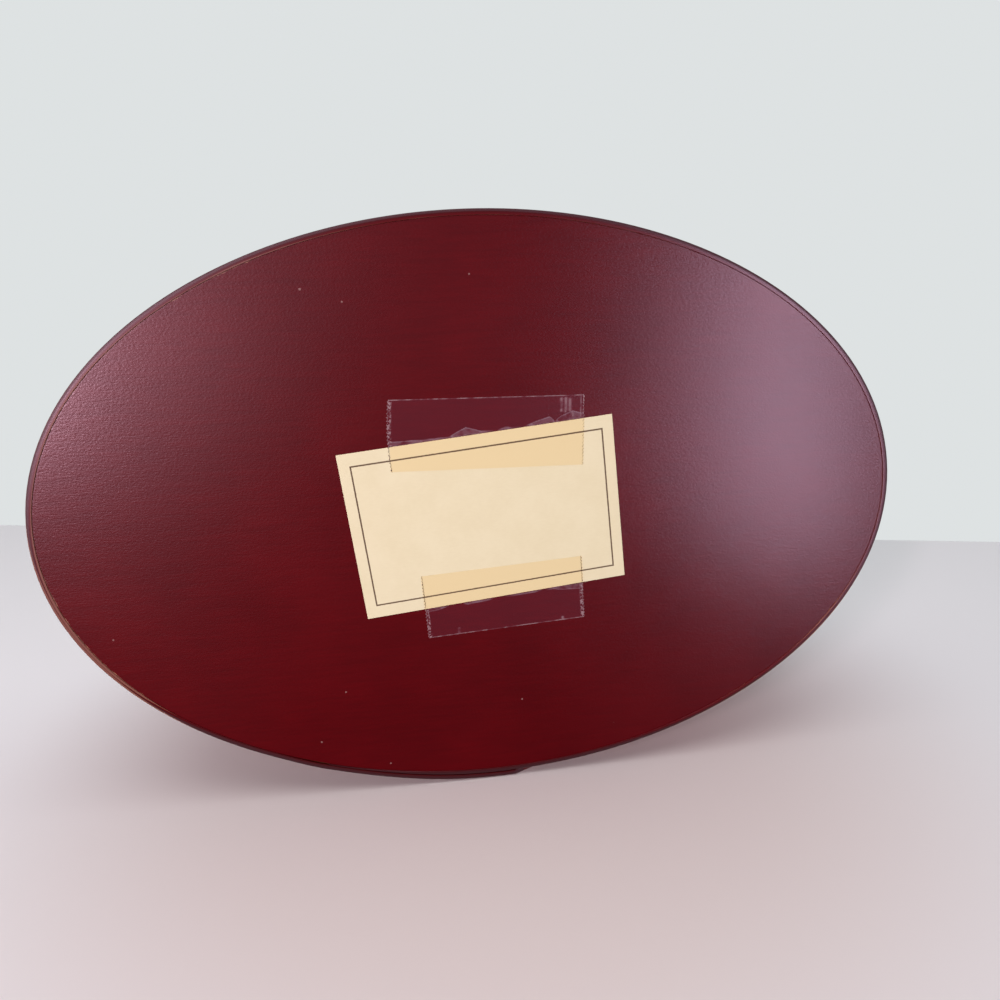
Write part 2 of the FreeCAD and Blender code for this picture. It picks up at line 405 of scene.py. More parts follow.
@dataclass
class BandStrip:
    """Thin strip with tapering fingers, bent once round and lapped over itself.

    The handled table gives the wear along the outer arris. The inner-lip table gives the wear along
    the inner lip, which is also a painted highlight on its shaded wall. The lower-edge reach table
    gives the painted contact shade along the lower edge. All are in mm, by degrees round the oval.
    A face with more corners than face_corners is one of the strip's two flat faces.
    """

    name: str
    node: str
    body: Body
    oval: OvalShape
    base: Callable[[float], float]
    fingers: int
    handled: Sequence[tuple[float, float]] = ((-180, 0.75), (180, 0.75))
    # wear along the inner lip, also a painted highlight on its shaded wall
    inner_wear_and_highlight: Sequence[tuple[float, float]] = ((-180, 0.3), (180, 0.3))
    # reach, in mm, of the painted contact shade along the lower edge
    contact_shade_reach: Sequence[tuple[float, float]] = (
        (-180, 1.0), (-130, 1.0), (-105, 2.4), (-50, 2.4), (-30, 1.0), (180, 1.0)
    )
    tip_width: float = 5.6 * MM
    tip_radius: float = 1.4 * MM
    tip_steps: int = 5
    bow: float = 1.7 * MM
    bow_steps: int = 24
    edge_round: float = 0.33 * MM
    inner_round: float = 0.1 * MM
    rings: Sequence[float] = (0.35 * MM, 0.5 * MM)
    face_corners: int = 40
    rim_reach: float = 2.0 * MM
    # height of the band of painted contact shade above the lower edge
    contact_shade_height: float = 1.2 * MM
    painted_lip: float = 0.9 * MM
    bend_step: float = 3.0 * MM
    table_size: int = 4000
    first: float = field(init=False)
    last: float = field(init=False)
    angles: np.ndarray = field(init=False)
    lengths: np.ndarray = field(init=False)

    def __post_init__(self) -> None:
        """Measure the developed length round the oval."""
        self.first = self.oval.angle_at(self.oval.feather_x)
        self.last = self.oval.angle_at(self.oval.tip_x) - 2 * math.pi - math.radians(1)
        self.angles = np.linspace(self.first, self.last, self.table_size)
        middle = self.oval.thickness / 2
        track = np.array([self.oval.spot(a, self.base(a) + middle) for a in self.angles])
        steps = np.hypot(*np.diff(track, axis=0).T)
        self.lengths = np.concatenate(([0.0], np.cumsum(steps)))

    def along(self, angle: float) -> float:
        """Return the developed length at an angle of the second pass or of the first."""
        return float(np.interp(-angle, -self.angles, self.lengths))

    def along_front(self, x: float) -> float:
        """Return the developed length at a place along X on the outer layer."""
        return self.along(self.oval.angle_at(x) - 2 * math.pi)

    def finger_edge(self, half_pitch: float) -> Outline:
        """Outline of one side of a notch, from its root to the finger's end.

        Args:
            half_pitch: Half of the distance between two fingers.

        Returns:
            Places along X, and heights above the notch's middle line.
        """
        root, tip, radius = self.oval.root_x, self.oval.tip_x, self.tip_radius
        shoulder = tip + radius
        rim = half_pitch - self.tip_width / 2
        run = math.hypot(root - shoulder, rim)
        across = Vector(((shoulder - root) / run, rim / run))
        out = Vector((rim / run, (root - shoulder) / run))
        bend = (run * run / 4 + self.bow * self.bow) / (2 * self.bow)
        edge = []
        for i in range(self.bow_steps + 1):
            share = -run / 2 + run * i / self.bow_steps
            rise = math.sqrt(bend * bend - share * share) - (bend - self.bow)
            place = Vector((root, 0)) + across * (share + run / 2) + out * rise
            edge.append((place.x, place.y))
        for i in range(1, self.tip_steps + 1):
            turn = math.pi / 2 * i / self.tip_steps
            rise = rim + radius - radius * math.cos(turn)
            edge.append((shoulder - radius * math.sin(turn), rise))
        return edge

    def outline(self, bottom: float, height: float) -> np.ndarray:
        """Flat pattern of the strip, from its thin end to its finger tips.

        Args:
            bottom: Height of the lower edge.
            height: Height of the strip.

        Returns:
            Rows of developed length and height.
        """
        pitch = height / self.fingers
        edge = self.finger_edge(pitch / 2)
        rows: Outline = [(0.0, bottom)]
        for i in range(self.fingers):
            below = bottom + pitch * i
            above = bottom + pitch * (i + 1)
            rows += [(self.along_front(x), below + rise) for x, rise in edge]
            back = [(self.along_front(x), above - rise) for x, rise in reversed(edge)]
            rows += back if i == self.fingers - 1 else back[:-1]
        rows.append((0.0, bottom + height))
        return np.array(rows)

    def bend(self, spots: np.ndarray) -> np.ndarray:
        """Bend the flat strip round the oval and over its own thin end.

        Args:
            spots: Rows of developed length, height and place in the thickness.

        Returns:
            Rows of x, y and z.
        """
        oval = self.oval
        angles = np.interp(spots[:, 0], self.lengths, self.angles)
        bent = np.empty_like(spots)
        for i, (angle, height, depth) in enumerate(zip(angles, spots[:, 1], spots[:, 2])):
            lift, ratio = 0.0, 1.0
            if math.sin(angle) < 0:
                x = oval.half_length * math.cos(angle)
                if self.first - angle > math.pi:
                    lift = oval.lap_lift(x)
                else:
                    grown = smooth_step(x, oval.feather_x, oval.full_x)
                    grown_by = (oval.thickness - oval.feather) * grown
                    ratio = (oval.feather + grown_by) / oval.thickness
            bent[i, :2] = oval.spot(angle, self.base(angle) + lift + depth * ratio)
            bent[i, 2] = height
        return bent

    def build(self, finish: bpy.types.Material) -> bpy.types.Object:
        """Saw the flat strip, soften its edges and bend it.

        Args:
            finish: The painted finish.

        Returns:
            The band.
        """
        low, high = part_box(self.node)
        outline = self.outline(low.z, high.z - low.z)
        thickness = self.oval.thickness
        clear_choice()
        bpy.ops.mesh.primitive_circle_add(vertices=len(outline), fill_type="NGON")
        strip = take_up(self.name)
        move_spots(strip, np.column_stack((outline, np.zeros(len(outline)))))
        pick(strip, faces=lambda face: True)
        bpy.ops.mesh.extrude_region_move(TRANSFORM_OT_translate={"value": (0, 0, thickness)})
        pick(strip, edges=lambda a, b: min(a.z, b.z) > thickness - TOUCH)
        bpy.ops.mesh.bevel(
            offset=self.edge_round, segments=3, profile=0.5, affect="EDGES", clamp_overlap=False
        )
        pick(strip, edges=lambda a, b: max(a.z, b.z) < TOUCH)
        bpy.ops.mesh.bevel(
            offset=self.inner_round, segments=2, profile=0.5, affect="EDGES", clamp_overlap=False
        )
        for ring in self.rings:
            pick(strip, faces=lambda face: len(face.vertices) > self.face_corners)
            bpy.ops.mesh.inset(thickness=ring, use_individual=True)
        cuts = int(self.lengths[-1] / self.bend_step)
        for i in range(1, cuts + 1):
            bpy.ops.mesh.select_all(action="SELECT")
            bpy.ops.mesh.bisect(
                plane_co=(self.bend_step * i, 0, 0), plane_no=(1, 0, 0), threshold=1e-7
            )
        bpy.ops.object.mode_set(mode="OBJECT")
        flat = spots_of(strip)
        move_spots(strip, self.bend(flat))
        gap = distance_to(outline, flat[:, :2])
        arris = np.hypot(gap, thickness - flat[:, 2])
        note(strip, "rim", 1.0 - np.clip(arris / self.rim_reach, 0.0, 1.0))
        inner = (flat[:, 2] < thickness * 0.5) & (gap > self.painted_lip)
        note(strip, "inside", inner.astype(float))
        turn = np.degrees(np.interp(flat[:, 0], self.lengths, self.angles))
        turn = (turn + 180) % 360 - 180
        contact_shade_mm = np.interp(turn, *np.array(self.contact_shade_reach).T) * MM
        # painted contact shade: the paint is darkened near the lower arris, where the box meets the
        # floor
        by_floor = flat[:, 1] < low.z + self.contact_shade_height
        note(strip, "contact_shade", by_floor * (1.0 - np.clip(arris / contact_shade_mm, 0.0, 1.0)))
        note(strip, "handled", np.interp(turn, *np.array(self.handled).T))
        # wear along the inner lip, which also paints a highlight on the shaded inner wall
        lip = np.interp(turn, *np.array(self.inner_wear_and_highlight).T)
        note(strip, "inner_wear_and_highlight", np.clip(0.5 + lip - np.hypot(gap, flat[:, 2]) / MM, 0.0, 2.0))
        lay_grain(strip, flat[:, 0], flat[:, 1])
        pick(strip, faces=lambda face: True)
        put_down()
        smooth(strip, 35.0)
        strip.data.materials.append(finish)
        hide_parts(self.node)
        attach(strip, self.body.value)
        return strip


# ---------------------------------------------------------------- copper tacks


@dataclass
class TackRow:
    """Copper tacks through a band's fingers, each made once and set in its place.

    The head_steps are insets, as shares of the radius, with their rises, as shares of the crown.
    """

    name: str
    node: str
    body: Body
    strip: BandStrip
    tip_inset: float = 8.0 * MM
    root_inset: float = 9.0 * MM
    head_radius: float = 2.1 * MM
    head_sink: float = 0.1 * MM
    crown: float = 0.2 * MM
    head_corners: int = 28
    head_edge: float = 0.55
    head_steps: Sequence[tuple[float, float]] = (
        (0.12, 0.25), (0.2, 0.12), (0.3, 0.06), (0.2, 0.02)
    )
    clinch_length: float = 2.6 * MM
    clinch_width: float = 1.3 * MM
    clinch_proud: float = 0.18 * MM
    clinch_round: float = 0.12 * MM
    clinch_taper: tuple[float, float, float] = (1, 0.35, 0.6)
    clinch_back: float = 0.5 * MM

    def head(self) -> bpy.types.Object:
        """Model one hammered head, facing +Z, with its rim sunk in the wood."""
        clear_choice()
        bpy.ops.mesh.primitive_circle_add(
            vertices=self.head_corners, radius=self.head_radius, fill_type="NGON"
        )
        head = take_up("tack_head")
        pick(head, faces=lambda face: True)
        rise = {"value": (0, 0, self.head_sink + self.crown * self.head_edge)}
        bpy.ops.mesh.extrude_region_move(TRANSFORM_OT_translate=rise)
        for share, lift in self.head_steps:
            bpy.ops.mesh.inset(thickness=self.head_radius * share, depth=self.crown * lift)
        put_down()
        spots = spots_of(head)
        spots[:, 2] -= self.head_sink
        turn = np.arctan2(spots[:, 1], spots[:, 0])
        wobble = 1.0 + 0.02 * np.sin(3 * turn + 0.7) + 0.012 * np.sin(7 * turn)
        spots[:, :2] *= wobble[:, None]
        move_spots(head, spots)
        return head

    def clinch(self) -> bpy.types.Object:
        """Model the flattened point that is bent down on the inside, facing -Z."""
        clear_choice()
        bpy.ops.mesh.primitive_cube_add(size=1)
        point = take_up("tack_point")
        work_on(point)
        point.scale = (self.clinch_length, self.clinch_width, 3 * self.clinch_proud)
        bpy.ops.object.transform_apply(location=False, rotation=False, scale=True)
        pick(point, faces=lambda face: face.normal.x > 0.9)
        bpy.ops.transform.resize(value=self.clinch_taper)
        pick(point, edges=lambda a, b: True)
        bpy.ops.mesh.bevel(
            offset=self.clinch_round, segments=2, affect="EDGES", clamp_overlap=True
        )
        put_down()
        spots = spots_of(point)
        spots[:, 0] += self.clinch_length / 2 - self.clinch_back
        spots[:, 2] += self.clinch_proud * 0.5
        move_spots(point, spots)
        return point

    def places(self) -> list[tuple[float, float]]:
        """Return the angle and the height of every tack, two along each finger."""
        low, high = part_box(self.strip.node)
        pitch = (high.z - low.z) / self.strip.fingers
        oval = self.strip.oval
        spots = []
        for i in range(self.strip.fingers):
            for x in (oval.tip_x + self.tip_inset, oval.root_x - self.root_inset):
                spots.append((oval.angle_at(x), low.z + pitch * (i + 0.5)))
        return spots

    def set_in(
        self, part: bpy.types.Object, angle: float, height: float, offset: float
    ) -> bpy.types.Object:
        """Copy a part, with its own mesh, to its place on the band.

        Args:
            part: A part that faces +Z, with its local +X to point down.
            angle: Angle of the oval.
            height: Height above the floor.
            offset: Distance of its face outside the oval.

        Returns:
            The copy.
        """
        copy = part.copy()
        copy.data = part.data.copy()
        bpy.context.collection.objects.link(copy)
        near = Vector((*self.strip.oval.spot(angle, 0.0), 0))
        out = (Vector((*self.strip.oval.spot(angle, 1.0), 0)) - near).normalized()
        down = Vector((0, 0, -1))
        side = out.cross(down)
        spot = Vector((*self.strip.oval.spot(angle, offset), height))
        turn = Matrix((down, side, out)).transposed().to_4x4()
        copy.data.transform(Matrix.Translation(spot) @ turn)
        return copy

    def build(self, finish: bpy.types.Material) -> bpy.types.Object:
        """Set every tack and join them as one piece.

        Args:
            finish: The copper.

        Returns:
            The row of tacks.
        """
        head, point = self.head(), self.clinch()
        oval = self.strip.oval
        copies = []
        for angle, height in self.places():
            x = oval.half_length * math.cos(angle)
            inner = self.strip.base(angle)
            face = inner + oval.lap_lift(x) + oval.thickness
            copies.append(self.set_in(head, angle, height, face))
            copies.append(self.set_in(point, angle, height, inner - self.clinch_proud * 0.5))
        for part in (head, point):
            bpy.data.objects.remove(part)
        clear_choice()
        for copy in copies:
            copy.select_set(True)
        bpy.context.view_layer.objects.active = copies[0]
        bpy.ops.object.join()
        row = take_up(self.name)
        smooth(row, 50.0)
        row.data.materials.append(finish)
        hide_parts(self.node)
        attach(row, self.body.value)
        return row


# ---------------------------------------------------------------- card and tape


@dataclass
class FlatPlace:
    """Where a flat piece lies under the bottom board, in plan."""

    x: float
    y: float
    turn: float

    def to_local(self, x: np.ndarray, y: np.ndarray) -> tuple[np.ndarray, np.ndarray]:
        """Turn places in the frame into places on the piece."""
        cos, sin = math.cos(self.turn), math.sin(self.turn)
        dx, dy = x - self.x, y - self.y
        return dx * cos + dy * sin, dy * cos - dx * sin

    def to_frame(self, a: np.ndarray, b: np.ndarray) -> tuple[np.ndarray, np.ndarray]:
        """Turn places on the piece into places in the frame."""
        cos, sin = math.cos(self.turn), math.sin(self.turn)
        return self.x + a * cos - b * sin, self.y + a * sin + b * cos


@dataclass
class LabelCard:
    """Bare cream card with a printed border line, taped under the bottom board."""

    place: FlatPlace
    face_z: float
    length: float = 73.5 * MM
    width: float = 47.0 * MM
    thickness: float = 0.13 * MM
    rim_round: float = 0.04 * MM
    columns: int = 48
    rows: int = 32

    def build(self, finish: bpy.types.Material) -> bpy.types.Object:
        """Cut the card from a grid, soften its rim and lay it on the board.

        Args:
            finish: The card's paper.

        Returns:
            The card.
        """
        clear_choice()
        bpy.ops.mesh.primitive_grid_add(
            x_subdivisions=self.columns, y_subdivisions=self.rows, size=1
        )
        card = take_up("label_card_paper")
        card.scale = (self.length, self.width, 1)
        bpy.ops.object.transform_apply(location=False, rotation=False, scale=True)
        pick(card, faces=lambda face: True)
        drop = {"value": (0, 0, -self.thickness)}
        bpy.ops.mesh.extrude_region_move(TRANSFORM_OT_translate=drop)
        thin = self.thickness
        half_x, half_y = self.length / 2 - TOUCH, self.width / 2 - TOUCH

        def on_rim(a: Vector, b: Vector) -> bool:
            """Tell whether an edge runs along the rim of the printed face."""
            low = max(a.z, b.z) < -thin + TOUCH
            ends = min(abs(a.x), abs(b.x)) > half_x and a.x * b.x > 0
            sides = min(abs(a.y), abs(b.y)) > half_y and a.y * b.y > 0
            return low and (ends or sides)

        pick(card, edges=on_rim)
        bpy.ops.mesh.bevel(
            offset=self.rim_round, segments=2, affect="EDGES", clamp_overlap=False
        )
        put_down()
        spots = spots_of(card)
        x, y = self.place.to_frame(spots[:, 0], spots[:, 1])
        move_spots(card, np.column_stack((x, y, spots[:, 2] + self.face_z)))
        smooth(card, 35.0)
        card.data.materials.append(finish)
        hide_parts("label_card")
        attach(card, Body.BOX.value)
        return card


@dataclass
class TapeStrip:
    """Clear tape with saw-cut ends, half on the board and half over the card's edge.

    The air table gives how far the tape stands free past the card's edge, by the place along
    the card. A crease is its place along the tape and its two ends across it. The fold_line is
    how far a turned-over end reaches back, and end_bows are the bows of the left and right ends.
    """

    name: str
    node: str
    place: FlatPlace
    card: LabelCard
    length: float
    air: Sequence[tuple[float, float]]
    creases: Sequence[tuple[float, float, float]]
    fold_line: float = 0.0
    end_bows: tuple[float, float] = (0.0, 0.0)
    width: float = 19.0 * MM
    thickness: float = 0.06 * MM
    clear: float = 0.015 * MM
    cell: float = 0.25 * MM
    tooth: float = 0.45 * MM
    tight: float = 0.35 * MM
    tight_fade: float = 0.8 * MM
    bow_reach: float = 6.0 * MM
    fold_width: float = 0.22 * MM
    crease_width: float = 0.5 * MM
    cut_reach: float = 2.0 * MM
    folded_cut_reach: float = 0.8 * MM
    side_reach: float = 1.0 * MM

    def hang(self, x: np.ndarray, y: np.ndarray) -> tuple[np.ndarray, np.ndarray]:
        """Drape the tape over the card's edge, with air left under it.

        Args:
            x: Places in the frame.
            y: Places in the frame.

        Returns:
            How far the tape hangs below the board, and how much air lies under it.
        """
        a, b = self.card.place.to_local(x, y)
        past_end = np.abs(a) - self.card.length / 2
        past_side = np.abs(b) - self.card.width / 2
        outside = np.maximum(past_end, past_side)
        reach = np.interp(a, *np.array(self.air).T)
        share = np.clip(outside / reach, 0.0, 1.0)
        drop = self.card.thickness * (1.0 - share * share * (3.0 - 2.0 * share))
        air = np.where((outside > 0) & (share < 1), np.sin(np.pi * share) ** 0.5, 0.0)
        air *= np.clip((reach - self.tight) / self.tight_fade, 0.0, 1.0)
        return np.where(outside > 0, drop, self.card.thickness), air

    def build(self, finish: bpy.types.Material) -> bpy.types.Object:
        """Saw the strip's ends and press it on the board and the card.

        Args:
            finish: The clear film.

        Returns:
            The tape.
        """
        columns, rows = round(self.length / self.cell), round(self.width / self.cell)
        clear_choice()
        bpy.ops.mesh.primitive_grid_add(x_subdivisions=columns, y_subdivisions=rows, size=1)
        tape = take_up(self.name)
        tape.scale = (self.length, self.width, 1)
        bpy.ops.object.transform_apply(location=False, rotation=False, scale=True)
        spots = spots_of(tape)
        a, b = spots[:, 0].copy(), spots[:, 1].copy()
        count = np.round((b + self.width / 2) / self.cell)
        bow = 1.0 - (2 * b / self.width) ** 2
        for side, depth in ((1, self.end_bows[1]), (-1, self.end_bows[0])):
            at_end = side * a > self.length / 2 - TOUCH
            near_end = np.clip(1 - (self.length / 2 - side * a) / self.bow_reach, 0.0, 1.0)
            spots[:, 0] += side * near_end * bow * depth
            spots[:, 0] -= side * at_end * np.abs(1 - (count / 2) % 2) * self.tooth
        x, y = self.place.to_frame(spots[:, 0], spots[:, 1])
        drop, air = self.hang(x, y)
        face = self.card.face_z - drop - self.clear
        move_spots(tape, np.column_stack((x, y, face)))
        gap_end = self.length / 2 - np.abs(a)
        gap_side = self.width / 2 - np.abs(b)
        on_card = drop > self.card.thickness * 0.98
        folded = (a < 0) & (self.fold_line > 0)
        from_fold = (gap_end - self.fold_line) / self.fold_width
        bars = np.where(folded, np.exp(-from_fold ** 2), 0.0)
        soft = self.crease_width
        for at, start, end in self.creases:
            inside = np.clip((b - start) / soft, 0, 1) * np.clip((end - b) / soft, 0, 1)
            bars = np.maximum(bars, inside * np.exp(-((a - at) / soft) ** 2))
        note(tape, "air", air)
        note(tape, "crease", bars)
        cut_reach = np.where(folded, self.folded_cut_reach, self.cut_reach)
        note(tape, "cut", np.clip(1 - gap_end / cut_reach, 0.0, 1.0))
        note(tape, "side", np.clip(1 - gap_side / self.side_reach, 0.0, 1.0))
        note(tape, "on_card", on_card.astype(float))
        pick(tape, faces=lambda face: True)
        down = {"value": (0, 0, -self.thickness)}
        bpy.ops.mesh.extrude_region_move(TRANSFORM_OT_translate=down)
        put_down()
        smooth(tape, 50.0)
        tape.data.materials.append(finish)
        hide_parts(self.node)
        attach(tape, Body.BOX.value)
        return tape


# ---------------------------------------------------------------- finishes


class NodeSheet:
    """Short calls for the nodes of one material."""

    def __init__(self, name: str) -> None:
        """Start a material with an empty node tree."""
        self.material = bpy.data.materials.new(name)
        self.material.use_nodes = True
        self.tree = self.material.node_tree
        self.tree.nodes.clear()
        self.output = self.tree.nodes.new("ShaderNodeOutputMaterial")
        self.shader = self.tree.nodes.new("ShaderNodeBsdfPrincipled")
        self.join(self.shader.outputs["BSDF"], self.output.inputs["Surface"])

    def join(self, source: Socket, target: Socket) -> None:
        """Link two sockets."""
        self.tree.links.new(source, target)

    def feed(self, socket: Socket, value: object) -> None:
        """Link a socket to another, or set its number or colour."""
        if isinstance(value, Socket):
            self.join(value, socket)
        else:
            socket.default_value = value

    def attribute(self, name: str) -> Socket:
        """Return the number that a piece stores for each vertex."""
        node = self.tree.nodes.new("ShaderNodeAttribute")
        node.attribute_name = name
        return node.outputs["Fac"]

    def flow(self, grain: Grain, scale: tuple[float, float, float]) -> Socket:
        """Return coordinates along the grain, stretched by a scale for each axis."""
        if grain is Grain.ALONG_STRIP:
            source = self.tree.nodes.new("ShaderNodeUVMap").outputs["UV"]
        else:
            source = self.tree.nodes.new("ShaderNodeTexCoord").outputs["Object"]
        node = self.tree.nodes.new("ShaderNodeMapping")
        node.inputs["Scale"].default_value = scale
        self.join(source, node.inputs["Vector"])
        return node.outputs["Vector"]

    def placed(self, place: FlatPlace) -> Socket:
        """Return coordinates on a flat piece from its place in the frame."""
        source = self.tree.nodes.new("ShaderNodeTexCoord").outputs["Object"]
        node = self.tree.nodes.new("ShaderNodeMapping")
        node.vector_type = "TEXTURE"
        node.inputs["Location"].default_value = (place.x, place.y, 0)
        node.inputs["Rotation"].default_value = (0, 0, place.turn)
        self.join(source, node.inputs["Vector"])
        return node.outputs["Vector"]

    def noise(self, vector: Socket, scale: float, detail: float = 2.0,
              rough: float = 0.5, bend: float = 0.0) -> Socket:
        """Return a noise from 0 to 1.

        Args:
            vector: Coordinates.
            scale: Cells for each unit of the coordinates.
            detail: Octaves.
            rough: Weight of the finer octaves.
            bend: Distortion.

        Returns:
            The noise's socket.
        """
        node = self.tree.nodes.new("ShaderNodeTexNoise")
        node.inputs["Scale"].default_value = scale
        node.inputs["Detail"].default_value = detail
        node.inputs["Roughness"].default_value = rough
        node.inputs["Distortion"].default_value = bend
        self.join(vector, node.inputs["Vector"])
        return node.outputs["Fac"]

    def cells(self, vector: Socket, scale: float) -> tuple[Socket, Socket]:
        """Return the distance to the nearest cell centre, and the cell's random number."""
        node = self.tree.nodes.new("ShaderNodeTexVoronoi")
        node.inputs["Scale"].default_value = scale
        self.join(vector, node.inputs["Vector"])
        split = self.tree.nodes.new("ShaderNodeSeparateColor")
        self.join(node.outputs["Color"], split.inputs["Color"])
        return node.outputs["Distance"], split.outputs["Red"]

    def math(self, operation: str, first: object, second: object = 0.0,
             third: object = 0.0) -> Socket:
        """Return the result of one Math node.

        Args:
            operation: Name of the operation.
            first: Socket or number.
            second: Socket or number.
            third: Socket or number.

        Returns:
            The result's socket.
        """
        node = self.tree.nodes.new("ShaderNodeMath")
        node.operation = operation
        for socket, value in zip(node.inputs, (first, second, third)):
            self.feed(socket, value)
        return node.outputs["Value"]

    def ramp(self, value: Socket, start: float, end: float,
             low: float = 0.0, high: float = 1.0) -> Socket:
        """Return a smooth rise from low to high between two values.

        Args:
            value: The socket to read.
            start: Value at which the result is low.
            end: Value at which the result is high.
            low: Result before start.
            high: Result after end.

        Returns:
            The result's socket.
        """
        node = self.tree.nodes.new("ShaderNodeMapRange")
        node.interpolation_type = "SMOOTHSTEP"
        backwards = start > end
        self.join(value, node.inputs["Value"])
        node.inputs["From Min"].default_value = end if backwards else start
        node.inputs["From Max"].default_value = start if backwards else end
        node.inputs["To Min"].default_value = high if backwards else low
        node.inputs["To Max"].default_value = low if backwards else high
        return node.outputs["Result"]

    def blend(self, share: object, first: object, second: object) -> Socket:
        """Return a colour between two, by share.

        Args:
            share: Socket or number from 0 to 1.
            first: Colour at 0.
            second: Colour at 1.

        Returns:
            The colour's socket.
        """
        node = self.tree.nodes.new("ShaderNodeMix")
        node.data_type = "RGBA"
        self.feed(node.inputs[0], share)
        self.feed(node.inputs[6], first)
        self.feed(node.inputs[7], second)
        return node.outputs[2]

    def relief(self, height: Socket, depth: float, under: Socket | None = None) -> Socket:
        """Return a bumped normal, with the height's full range this deep.

        Args:
            height: Height from 0 to 1.
            depth: Depth in metres.
            under: Normal of a coarser relief.

        Returns:
            The normal's socket.
        """
        node = self.tree.nodes.new("ShaderNodeBump")
        node.inputs["Strength"].default_value = 1.0
        node.inputs["Distance"].default_value = depth
        self.join(height, node.inputs["Height"])
        if under is not None:
            self.join(under, node.inputs["Normal"])
        return node.outputs["Normal"]


